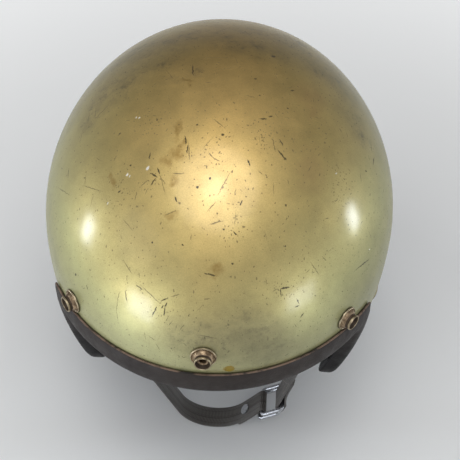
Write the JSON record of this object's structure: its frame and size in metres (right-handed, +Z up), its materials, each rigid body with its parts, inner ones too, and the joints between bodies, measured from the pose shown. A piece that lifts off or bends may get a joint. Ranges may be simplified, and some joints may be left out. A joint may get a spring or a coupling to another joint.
{
  "type": "motorcycle helmet",
  "caption": "Open-face helmet shell with an edge band, visor studs, foam liner, comfort pads and a fastened chin strap on a pair of rings.",
  "frame": {"origin": "middle of the crown pad's underside, where the helmet rests on the head", "axes": "-Y towards the face opening, +X towards the wearer's left, +Z up through the crown"},
  "size_m": [0.246, 0.2953, 0.3548],
  "materials": {
    "shell_paint": "worn gold metallic paint on a fibre moulding",
    "band_leather": "worn dark brown, matt",
    "liner_foam": "off-white moulded bead foam",
    "pad_cloth": "dark knitted cloth over soft foam",
    "stud_brass": "aged plated brass",
    "ring_steel": "plated steel, slightly dull",
    "strap_webbing": "dark grey woven webbing"
  },
  "bodies": {
    "helmet": {"outer_shell": "shell_paint", "edge_band": "band_leather", "eps_liner": "liner_foam", "crown_pad": "pad_cloth", "brow_pad": "pad_cloth", "cheek_pad_left": "pad_cloth", "cheek_pad_right": "pad_cloth", "nape_pad": "pad_cloth", "snap_stud_center": "stud_brass", "snap_stud_left": "stud_brass", "snap_stud_right": "stud_brass", "snap_rivet_center": "stud_brass", "snap_rivet_left": "stud_brass", "snap_rivet_right": "stud_brass", "snap_washer_center": "stud_brass", "snap_washer_left": "stud_brass", "snap_washer_right": "stud_brass", "strap_rivet_left": "stud_brass", "strap_rivet_right": "stud_brass", "strap_washer_left": "ring_steel", "strap_washer_right": "ring_steel"},
    "chin_strap": {"chin_strap_long": "strap_webbing", "chin_strap_short": "strap_webbing", "strap_eyelet_left": "stud_brass", "strap_eyelet_right": "stud_brass", "strap_ring_inner": "ring_steel", "strap_ring_outer": "ring_steel", "tail_button_post": "ring_steel"},
    "strap_tail": {"strap_tail": "strap_webbing", "tail_button_cap": "ring_steel"}
  },
  "joints": [
    {"name": "chin_strap_swing", "type": "hinge", "parent": "helmet", "child": "chin_strap", "pos_m": [0, -0.0296, -0.12958], "axis": [1, 0, 0], "range_deg": [-15, 30]},
    {"name": "strap_tail_lift", "type": "hinge", "parent": "chin_strap", "child": "strap_tail", "pos_m": [0.03414, -0.0296, -0.29128], "axis": [0, -1, 0], "range_deg": [0, 60]}
  ]
}
